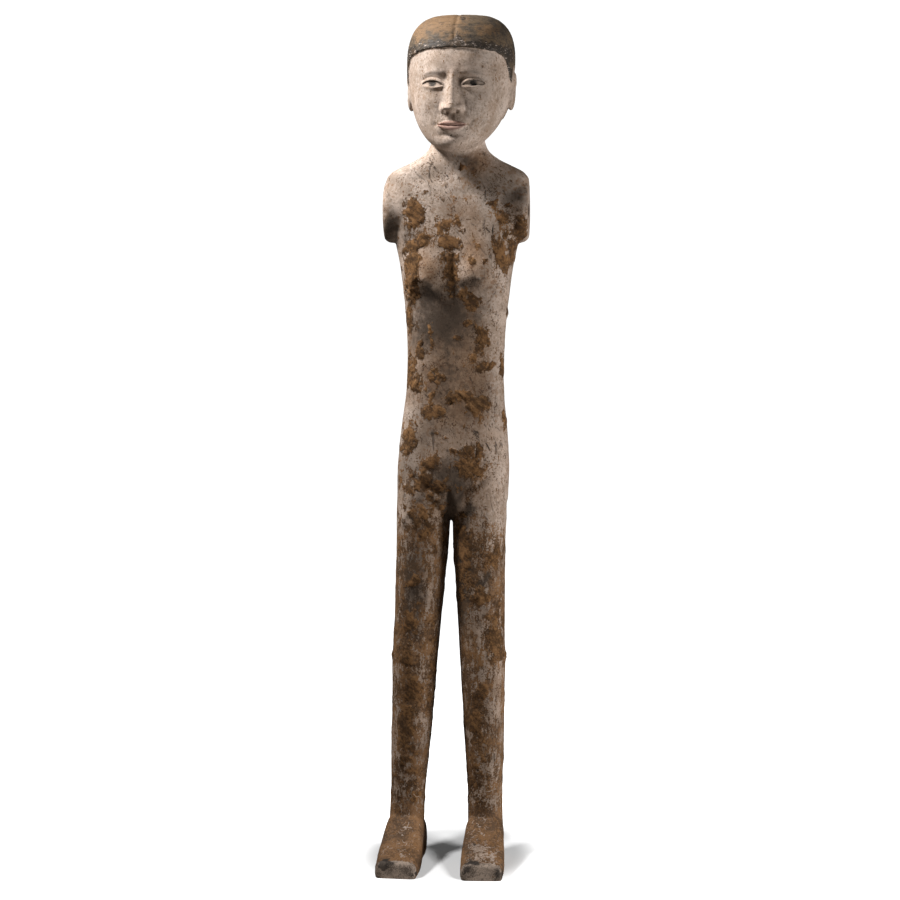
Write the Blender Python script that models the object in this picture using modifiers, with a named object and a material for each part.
"""Standing tomb figure of fired clay, moulded in one piece.

The figure faces -Y and stands on the soles of its two feet at z = 0. It has no arms: each shoulder ends in a
flat round stub with a blind socket, where a wooden arm was once pegged on.

Limbs, trunk and head are lofts between unlike cross-sections. They are fused by a fine voxel remesh, the face,
breasts, hair and ears are then raised from that skin, and the skin is cut flat at the soles and shoulders.
"""

import math

import bmesh
import bpy
import numpy as np

# Driving sizes, in metres
HEIGHT = 0.600
SHOULDER_SPAN = 0.1010
SOCKET_DIAMETER = 0.0100
SOCKET_DEPTH = 0.0240
HAIR_THICKNESS = 0.0014
VOXEL = 0.0014
FACES_WANTED = 9000

# The tables below are drawn in millimetres on a figure 600 mm tall, and DRAWN turns them into metres.
DRAWN_HEIGHT = 600.0
DRAWN = HEIGHT / DRAWN_HEIGHT

# How far the whole figure drifts sideways for each unit of height, and the height where it does not
LEAN = 0.0175
LEAN_PIVOT = 190.0

# Sections from bottom to top: height, half width, front, back, squareness
TRUNK = (
    (247.0, 22.0, -7.0, 9.0, 2.0),
    (252.0, 34.5, -15.0, 18.0, 2.2),
    (259.0, 38.7, -20.4, 23.8, 2.4),
    (269.0, 39.4, -22.7, 25.6, 2.4),
    (284.0, 39.5, -23.6, 25.4, 2.4),
    (301.0, 38.5, -23.6, 23.5, 2.4),
    (318.0, 36.7, -23.0, 20.5, 2.4),
    (335.0, 34.8, -22.4, 18.6, 2.4),
    (352.0, 34.1, -21.8, 18.0, 2.4),
    (377.0, 34.6, -21.6, 19.0, 2.4),
    (394.0, 35.8, -22.0, 20.5, 2.4),
    (411.0, 37.7, -22.8, 22.5, 2.5),
    (428.0, 40.1, -23.2, 24.0, 2.6),
    (441.0, 42.8, -22.8, 24.4, 2.9),
    (455.0, 46.0, -21.2, 24.0, 3.6),
    (470.0, 48.4, -19.0, 23.2, 4.2),
    (482.0, 50.0, -16.6, 22.0, 4.0),
    (488.5, 49.0, -15.6, 21.2, 3.4),
    (492.0, 45.4, -15.4, 21.0, 2.9),
    (496.0, 37.4, -15.8, 21.6, 2.4),
    (500.0, 29.5, -15.6, 21.0, 2.3),
    (505.0, 22.6, -15.4, 20.2, 2.2),
    (511.0, 19.2, -15.0, 19.4, 2.1),
    (520.0, 18.2, -15.0, 19.0, 2.0),
    (532.0, 18.2, -15.0, 19.0, 2.0),
)

# How far the trunk's middle stands to the left of its axis, at which height and over what length
TRUNK_DRIFT = 1.3
TRUNK_MIDDLE = 355.0
TRUNK_DRIFT_REACH = 95.0

# Sections of one leg: height, distance of its axis from the middle, half width, front, back, squareness
LEG = (
    (8.0, 28.4, 12.6, -11.5, 13.5, 2.2),
    (28.0, 28.3, 12.6, -12.6, 13.6, 2.2),
    (42.0, 28.0, 12.4, -12.4, 12.8, 2.2),
    (59.0, 27.4, 12.6, -12.6, 13.4, 2.2),
    (77.0, 26.8, 13.6, -13.6, 15.4, 2.2),
    (94.0, 26.1, 14.3, -14.6, 17.0, 2.2),
    (112.0, 25.4, 14.8, -15.4, 17.6, 2.2),
    (129.0, 24.8, 15.5, -16.6, 17.0, 2.2),
    (146.0, 24.3, 16.2, -17.8, 16.4, 2.2),
    (164.0, 23.2, 16.4, -17.8, 17.2, 2.2),
    (198.0, 21.7, 17.4, -19.2, 19.4, 2.2),
    (232.0, 20.1, 18.6, -20.6, 21.6, 2.2),
    (262.0, 19.9, 19.0, -21.4, 23.4, 2.2),
    (290.0, 18.8, 17.0, -19.4, 20.0, 2.2),
)

# Sections of one foot from heel to toe: distance in front of the leg's axis, half width, height of the top
FOOT = (
    (-20.5, 5.0, 10.0),
    (-19.0, 9.5, 18.0),
    (-14.0, 12.4, 27.0),
    (-4.0, 13.2, 33.0),
    (8.0, 13.7, 36.0),
    (14.0, 14.0, 33.6),
    (22.0, 14.7, 27.6),
    (32.0, 15.3, 20.8),
    (42.0, 15.2, 15.6),
    (48.0, 14.8, 13.2),
    (51.5, 14.2, 11.8),
    (52.5, 12.8, 10.0),
)
FOOT_AXIS = 28.2
FOOT_SOLE = -3.0
FOOT_SQUARENESS = 3.6
TOE_OUT_DEG = 2.0

# Sections of the head from chin to crown: height, half width, front, back, squareness
HEAD = (
    (504.5, 5.0, -31.0, -21.0, 2.0),
    (507.0, 12.0, -35.0, -8.0, 2.0),
    (511.0, 18.0, -36.8, 4.0, 2.1),
    (517.0, 23.6, -37.8, 15.0, 2.1),
    (524.0, 28.0, -38.4, 25.0, 2.2),
    (532.0, 31.4, -38.8, 32.5, 2.2),
    (541.0, 33.8, -39.2, 37.5, 2.2),
    (551.0, 35.2, -39.2, 40.5, 2.2),
    (561.0, 35.9, -38.6, 42.0, 2.2),
    (570.0, 36.1, -37.2, 42.2, 2.2),
    (577.0, 35.6, -35.2, 41.4, 2.2),
    (583.0, 34.2, -32.4, 39.6, 2.2),
    (588.5, 31.8, -28.6, 36.6, 2.2),
    (593.0, 28.0, -23.6, 32.2, 2.2),
    (596.2, 23.0, -17.6, 26.6, 2.2),
    (598.0, 16.0, -10.0, 19.0, 2.1),
    (598.6, 8.0, -2.0, 11.0, 2.0),
)
HEAD_SIDE_SHIFT = 1.0
HEAD_TURN_DEG = -3.0

# Shoulder stub: a flat round disc on each side, whose outer face is where the arm sat
STUB_HEIGHT = 464.5
STUB_RADIUS = 22.4
STUB_DEPTH_SHARE = 0.87
STUB_INNER = 30.0
STUB_BEVEL = 6.0
STUB_SPARE = 1.0
STUB_Y = 1.0

# Ear: a flattened oval lying against the side of the head
EAR_X = 35.2
EAR_Y = 5.0
EAR_Z = 550.0
EAR_HALF = (3.4, 8.4, 16.2)

# Knot of hair low on the back of the head
KNOT_CENTRE = (0.0, 34.0, 542.0)
KNOT_HALF = (14.0, 10.5, 17.0)

RING_POINTS = 96
RING_STEP = 1.5
SOCKET_SIDES = 48
FACE_THINNING = 0.5
THINNING_BIAS = 0.001


def table_at(table, height):
    """The row of a section table at any height, on a smooth curve through the rows."""
    rows = np.array(table)
    keys = rows[:, 0]
    slopes = np.gradient(rows, keys, axis=0)
    height = float(np.clip(height, keys[0], keys[-1]))
    i = int(np.clip(np.searchsorted(keys, height) - 1, 0, len(keys) - 2))
    span = keys[i + 1] - keys[i]
    t = (height - keys[i]) / span
    start = (1 + 2 * t) * (1 - t) ** 2 * rows[i] + t * (1 - t) ** 2 * span * slopes[i]
    end = t * t * (3 - 2 * t) * rows[i + 1] + t * t * (t - 1) * span * slopes[i + 1]
    return start + end


def levels_of(table):
    """Even steps along a section table, with both of its ends."""
    count = max(2, round((table[-1][0] - table[0][0]) / RING_STEP))
    return np.linspace(table[0][0], table[-1][0], count + 1)


def superellipse(half_width, low, high, squareness):
    """A closed ring of (across, along) points between low and high."""
    middle, half = (low + high) / 2, (high - low) / 2
    ring = []
    for k in range(RING_POINTS):
        c, s = math.cos(math.tau * k / RING_POINTS), math.sin(math.tau * k / RING_POINTS)
        power = 2 / squareness
        across = math.copysign(abs(c) ** power, c) * half_width
        along = math.copysign(abs(s) ** power, s) * half + middle
        ring.append((across, along))
    return ring


def loft(target, rings):
    """Adds a closed tube through the rings, capped at both ends."""
    rows = [[target.verts.new(point) for point in ring] for ring in rings]
    for low, high in zip(rows, rows[1:]):
        for k in range(RING_POINTS):
            after = (k + 1) % RING_POINTS
            target.faces.new((low[k], low[after], high[after], high[k]))
    target.faces.new(rows[0][::-1])
    target.faces.new(rows[-1])


def add_trunk(target):
    rings = []
    for z in levels_of(TRUNK):
        _, half, front, back, square = table_at(TRUNK, z)
        across = TRUNK_DRIFT * math.exp(-(((z - TRUNK_MIDDLE) / TRUNK_DRIFT_REACH) ** 2))
        rings.append([(x + across, y, z) for x, y in superellipse(half, front, back, square)])
    loft(target, rings)


def add_leg(target, side):
    rings = []
    for z in levels_of(LEG):
        _, axis, half, front, back, square = table_at(LEG, z)
        rings.append([(x + side * axis, y, z) for x, y in superellipse(half, front, back, square)])
    loft(target, rings)


def add_foot(target, side):
    turn = math.radians(side * TOE_OUT_DEG)
    rings = []
    for reach in levels_of(FOOT):
        _, half, top = table_at(FOOT, reach)
        ring = []
        for x, z in superellipse(half, FOOT_SOLE, top, FOOT_SQUARENESS):
            across = x * math.cos(turn) + reach * math.sin(turn) + side * FOOT_AXIS
            forward = reach * math.cos(turn) - x * math.sin(turn)
            ring.append((across, -forward, z))
        rings.append(ring)
    loft(target, rings)


def head_place(x, y, z):
    """Turns a point of the head about the neck and moves it to its place."""
    turn = math.radians(HEAD_TURN_DEG)
    across = x * math.cos(turn) - y * math.sin(turn) + HEAD_SIDE_SHIFT
    return across, x * math.sin(turn) + y * math.cos(turn), z


def add_head(target):
    rings = []
    for z in levels_of(HEAD):
        _, half, front, back, square = table_at(HEAD, z)
        rings.append([head_place(x, y, z) for x, y in superellipse(half, front, back, square)])
    loft(target, rings)


def add_ellipsoid(target, centre, half):
    made = bmesh.ops.create_uvsphere(target, u_segments=48, v_segments=32, radius=1.0)
    for vert in made["verts"]:
        point = [c + h * v for c, h, v in zip(centre, half, vert.co)]
        vert.co = head_place(*point)


def add_stub(target, side):
    """A short disc across the shoulder, longer by the spare than it ends up, because the shoulder cut trims it."""
    length = SHOULDER_SPAN / DRAWN / 2 + STUB_SPARE - STUB_INNER
    made = bmesh.ops.create_cone(
        target, cap_ends=True, segments=72, radius1=STUB_RADIUS, radius2=STUB_RADIUS, depth=length
    )
    rim = [
        edge
        for edge in {edge for vert in made["verts"] for edge in vert.link_edges}
        if abs(edge.verts[0].co.z - edge.verts[1].co.z) < 1e-6 and edge.verts[0].co.z > 0
    ]
    bevelled = bmesh.ops.bevel(target, geom=rim, offset=STUB_BEVEL, segments=4, profile=0.5, affect="EDGES")
    verts = {vert for face in bevelled["faces"] for vert in face.verts} | {
        vert for vert in made["verts"] if vert.is_valid
    }
    for vert in verts:
        up, depth, along = vert.co.x, vert.co.y, vert.co.z
        across = side * (STUB_INNER + length / 2 + along)
        vert.co = (across, STUB_Y + depth * STUB_DEPTH_SHARE, STUB_HEIGHT + up)


def bump(distance):
    """A smooth hill, 1 at no distance and near 0 beyond 2."""
    return np.exp(-(distance**2))


def step(low, high, value):
    """Rises smoothly from 0 at low to 1 at high."""
    t = np.clip((value - low) / (high - low), 0, 1)
    return t * t * (3 - 2 * t)


def oval(u, w, cu, cw, ru, rw):
    """How far a point of the face is from the middle of an oval, where its edge is 1."""
    return np.hypot((u - cu) / ru, (w - cw) / rw)


def face_relief(u, w):
    """How far the face stands forward of the plain head, for a place across (u) and up (w)."""
    out = np.abs(u)
    brow_line = 557.0 - ((out - 13.0) / 9.5) ** 2 * 1.6
    relief = 1.1 * bump((w - brow_line) / 2.4) * step(3.0, 8.0, out) * step(27.0, 20.0, out)
    relief -= 3.4 * bump(oval(out, w, 13.5, 550.6, 9.0, 5.0))
    relief -= 1.2 * bump(oval(out, w, 5.6, 552.0, 4.2, 5.5))
    relief += 2.7 * bump(oval(out, w, 14.3, 549.6, 7.6, 4.4) ** 1.6)
    slit = 549.2 + 1.3 * (1 - ((out - 14.3) / 7.8) ** 2)
    along_eye = step(7.2, 8.8, out) * step(21.6, 19.8, out)
    relief -= 0.9 * bump((w - slit) / 0.8) * along_eye
    relief += 0.5 * bump((w - slit + 2.2) / 0.9) * along_eye
    rise = np.clip((557.5 - w) / 24.5, 0, 1)
    nose_width = 2.7 + 2.2 * rise**1.5
    nose_height = (1.2 + 7.6 * rise**1.15) * step(529.6, 533.0, w) * step(562.0, 553.0, w)
    relief += nose_height * bump(out / nose_width / 1.25)
    relief += 3.3 * bump(oval(out, w, 5.9, 532.6, 3.0, 2.9) ** 1.3)
    relief += 1.6 * bump(oval(out, w, 0.0, 521.6, 12.0, 8.5))
    lips = step(10.4, 6.0, out)
    relief += 1.3 * bump((w - 523.6 + 0.05 * out) / 1.7) * lips
    relief += 1.5 * bump((w - 518.8 - 0.02 * out**1.5) / 1.9) * step(9.0, 4.0, out)
    relief -= 1.4 * bump((w - 521.4 + 0.01 * out**1.6) / 0.75) * lips
    relief -= 0.9 * bump(oval(out, w, 0.0, 514.6, 8.0, 1.9))
    relief += 1.7 * bump(oval(out, w, 0.0, 509.6, 9.0, 4.6))
    relief += 1.5 * bump(oval(out, w, 19.5, 537.5, 9.5, 9.0))
    return relief


def hair_edge(turn_deg):
    """Height of the hair's edge at each direction round the head: 0 is the face, 180 the nape."""
    turns = (0, 25, 42, 56, 64, 70, 76, 82, 100, 112, 130, 180)
    heights = (574.2, 573.8, 572.4, 570.2, 567.0, 561.0, 556.0, 553.0, 545.0, 530.0, 524.0, 521.0)
    return np.interp(turn_deg, turns, heights)


def trunk_relief(x, z):
    """How far breasts, collar and groin stand forward of the plain trunk."""
    out = np.abs(x)
    lower = np.where(z < 419.0, 8.0, 17.0)
    breast = bump(np.hypot((out - 19.0) / 12.5, (z - 419.0) / lower) ** 1.35)
    relief = 6.4 * breast
    relief -= 1.0 * bump(out / 4.5) * bump((z - 424.0) / 22.0)
    relief += 1.4 * bump(np.hypot(x / 22.0, (z - 318.0) / 28.0))
    fold = 262.0 + 0.62 * out
    relief -= 1.3 * bump((z - fold) / 3.0) * step(36.0, 22.0, out) * step(2.0, 8.0, out)
    relief += 2.2 * bump(np.hypot(x / 10.0, (z - 258.0) / 13.0))
    return relief


def back_relief(x, z):
    """How far buttocks and shoulder blades stand behind the plain trunk."""
    out = np.abs(x)
    lower = np.where(z < 264.0, 16.0, 26.0)
    relief = 5.2 * bump(np.hypot((out - 17.5) / 14.0, (z - 264.0) / lower) ** 1.3)
    relief += 1.8 * bump(np.hypot((out - 21.0) / 12.0, (z - 458.0) / 18.0))
    relief -= 2.0 * bump(x / 5.0) * step(262.0, 285.0, z) * step(488.0, 462.0, z)
    return relief


def ear_relief(y, z):
    """Hollow and rim of the ear, seen from the side."""
    around = oval(y, z, EAR_Y, EAR_Z + 1.5, EAR_HALF[1], EAR_HALF[2])
    hollow = -1.5 * bump(oval(y, z, EAR_Y - 1.0, EAR_Z + 0.5, 3.6, 6.5) ** 1.4)
    return hollow - 0.7 * bump((around - 0.66) / 0.10) * step(EAR_Z - 10.0, EAR_Z - 4.0, z)


def raise_relief(points, normals):
    """Moves the skin's points so that face, hair, ears, breasts and back stand out of it."""
    turn = math.radians(HEAD_TURN_DEG)
    x, y, z = points.T.copy()
    u = (x - HEAD_SIDE_SHIFT) * math.cos(turn) + y * math.sin(turn)
    v = y * math.cos(turn) - (x - HEAD_SIDE_SHIFT) * math.sin(turn)
    facing = step(0.15, 0.55, -normals[:, 1])
    on_head = step(503.0, 506.0, z) * step(-6.0, -12.0, v)
    forward = face_relief(u, z) * facing * on_head
    on_trunk = step(236.0, 246.0, z) * step(500.0, 490.0, z)
    forward += trunk_relief(x, z) * facing * on_trunk
    behind = back_relief(x, z) * step(0.15, 0.6, normals[:, 1]) * on_trunk
    points[:, 1] += behind - forward
    side = step(0.35, 0.75, np.abs(normals[:, 0])) * step(33.6, 35.4, np.abs(u))
    beside = oval(v, z, EAR_Y, EAR_Z, EAR_HALF[1] + 0.5, EAR_HALF[2] + 0.5)
    points[:, 0] += np.sign(u) * ear_relief(v, z) * side * step(1.05, 0.9, beside)
    turned = np.degrees(np.abs(np.arctan2(u, -v)))
    hair = step(-0.9, 0.9, z - hair_edge(turned)) * step(500.0, 515.0, z)
    hair *= step(0.75, 1.1, np.where(np.abs(u) > 34.5, beside, 2.0))
    parting = 1 - 0.75 * bump(u / 0.9) * step(0.0, 6.0, z - 576.0)
    layer = HAIR_THICKNESS / DRAWN * hair * parting
    return points + normals * layer[:, None]


def evaluated_mesh(obj):
    """The object's mesh with its modifiers worked in, as a mesh of its own."""
    graph = bpy.context.evaluated_depsgraph_get()
    return bpy.data.meshes.new_from_object(obj.evaluated_get(graph))


def points_of(mesh):
    points = np.empty(len(mesh.vertices) * 3)
    mesh.vertices.foreach_get("co", points)
    normals = np.empty(len(mesh.vertices) * 3)
    mesh.vertex_normals.foreach_get("vector", normals)
    return points.reshape(-1, 3), normals.reshape(-1, 3)


def fused_skin(collection):
    """All the lofts in one mesh, fused and softened where they meet."""
    shapes = bmesh.new()
    add_trunk(shapes)
    add_head(shapes)
    add_ellipsoid(shapes, KNOT_CENTRE, KNOT_HALF)
    for side in (-1, 1):
        add_leg(shapes, side)
        add_foot(shapes, side)
        add_stub(shapes, side)
        add_ellipsoid(shapes, (side * EAR_X, EAR_Y, EAR_Z), EAR_HALF)
    bmesh.ops.recalc_face_normals(shapes, faces=shapes.faces)
    mesh = bpy.data.meshes.new("skin")
    shapes.to_mesh(mesh)
    shapes.free()
    skin = bpy.data.objects.new("skin", mesh)
    collection.objects.link(skin)
    fuse = skin.modifiers.new("fuse", "REMESH")
    fuse.mode = "VOXEL"
    fuse.voxel_size = VOXEL / DRAWN
    soften = skin.modifiers.new("soften", "SMOOTH")
    soften.factor = 0.5
    soften.iterations = 4
    fused = evaluated_mesh(skin)
    bpy.data.objects.remove(skin)
    return fused


def cut_box(collection, name, low, high):
    """A box cutter between two corners."""
    mesh = bpy.data.meshes.new(name)
    box = bmesh.new()
    made = bmesh.ops.create_cube(box, size=1.0)
    for vert in made["verts"]:
        vert.co = [a + (b - a) * (c + 0.5) for a, b, c in zip(low, high, vert.co)]
    box.to_mesh(mesh)
    box.free()
    return as_cutter(collection, name, mesh)


def socket_cutter(collection, name, side, face_x, height):
    """A peg-shaped cutter, from outside the shoulder's face to the socket's floor."""
    beyond = 0.01
    mesh = bpy.data.meshes.new(name)
    peg = bmesh.new()
    length = SOCKET_DEPTH + beyond
    bmesh.ops.create_cone(
        peg,
        cap_ends=True,
        segments=SOCKET_SIDES,
        radius1=SOCKET_DIAMETER / 2,
        radius2=SOCKET_DIAMETER / 2,
        depth=length,
    )
    middle = face_x + side * (beyond - length / 2)
    for vert in peg.verts:
        vert.co = (middle + vert.co.z, STUB_Y * DRAWN + vert.co.y, height - vert.co.x)
    peg.to_mesh(mesh)
    peg.free()
    return as_cutter(collection, name, mesh)


def as_cutter(collection, name, mesh):
    cutter = bpy.data.objects.new(name, mesh)
    cutter.hide_render = True
    cutter.display_type = "WIRE"
    collection.objects.link(cutter)
    return cutter


def clay_material():
    """Pale slip over grey clay, matt."""
    material = bpy.data.materials.new("slip_coated_clay")
    material.use_nodes = True
    shader = material.node_tree.nodes["Principled BSDF"]
    shader.inputs["Base Color"].default_value = (0.36, 0.27, 0.21, 1.0)
    shader.inputs["Roughness"].default_value = 0.9
    shader.inputs["Metallic"].default_value = 0.0
    return material


def clear_scene():
    for obj in list(bpy.data.objects):
        bpy.data.objects.remove(obj)


def new_collection(name):
    collection = bpy.data.collections.new(name)
    bpy.context.scene.collection.children.link(collection)
    return collection


def leaned(points):
    """The figure's slight sideways drift, more the higher it goes."""
    points[:, 0] += LEAN * (points[:, 2] - LEAN_PIVOT)
    return points


def thin_out(figure, points):
    """Fewer triangles, more of them kept on the face and the front of the hair than elsewhere."""
    coarse = figure.vertex_groups.new(name="coarse")
    face = (points[:, 2] > HEAD[0][0] * DRAWN) & (points[:, 1] < 0)
    coarse.add(np.flatnonzero(face).tolist(), FACE_THINNING, "REPLACE")
    coarse.add(np.flatnonzero(~face).tolist(), 1.0, "REPLACE")
    thin = figure.modifiers.new("thin", "DECIMATE")
    thin.ratio = FACES_WANTED / (2 * len(figure.data.polygons))
    thin.vertex_group = coarse.name
    thin.vertex_group_factor = THINNING_BIAS


def build():
    clear_scene()
    parts = new_collection("tomb_figure")
    cutters = new_collection("cutters")

    mesh = fused_skin(parts)
    points, normals = points_of(mesh)
    points = leaned(raise_relief(points, normals)) * DRAWN
    drift = LEAN * (STUB_HEIGHT - LEAN_PIVOT) * DRAWN
    mesh.vertices.foreach_set("co", points.ravel())

    figure = bpy.data.objects.new("figure", mesh)
    parts.objects.link(figure)
    figure.data.materials.append(clay_material())

    thin_out(figure, points)

    reach = HEIGHT
    sole = cut_box(cutters, "sole_cutter", (-reach, -reach, -reach), (reach, reach, 0.0))
    tools = [sole]
    for side, name in ((-1, "right"), (1, "left")):
        face_x = drift + side * SHOULDER_SPAN / 2
        far_x = face_x + side * reach
        low_x, high_x = sorted((face_x, far_x))
        height = STUB_HEIGHT * DRAWN
        span = 2 * STUB_RADIUS * DRAWN
        tools.append(
            cut_box(
                cutters,
                name + "_shoulder_cutter",
                (low_x, -reach, height - span),
                (high_x, reach, height + span),
            )
        )
        tools.append(socket_cutter(cutters, name + "_socket_cutter", side, face_x, height))
    for tool in tools:
        cut = figure.modifiers.new(tool.name, "BOOLEAN")
        cut.operation = "DIFFERENCE"
        cut.object = tool

    final = evaluated_mesh(figure)
    figure.modifiers.clear()
    figure.data = final
    final.shade_smooth()
    final.set_sharp_from_angle(angle=math.radians(50))
    settle_on_origin(figure)


def settle_on_origin(figure):
    """Moves the mesh so that the middle of its footprint box is over the origin."""
    points, _ = points_of(figure.data)
    middle = (points.min(axis=0) + points.max(axis=0)) / 2
    points[:, :2] -= middle[:2]
    figure.data.vertices.foreach_set("co", points.ravel())


build()
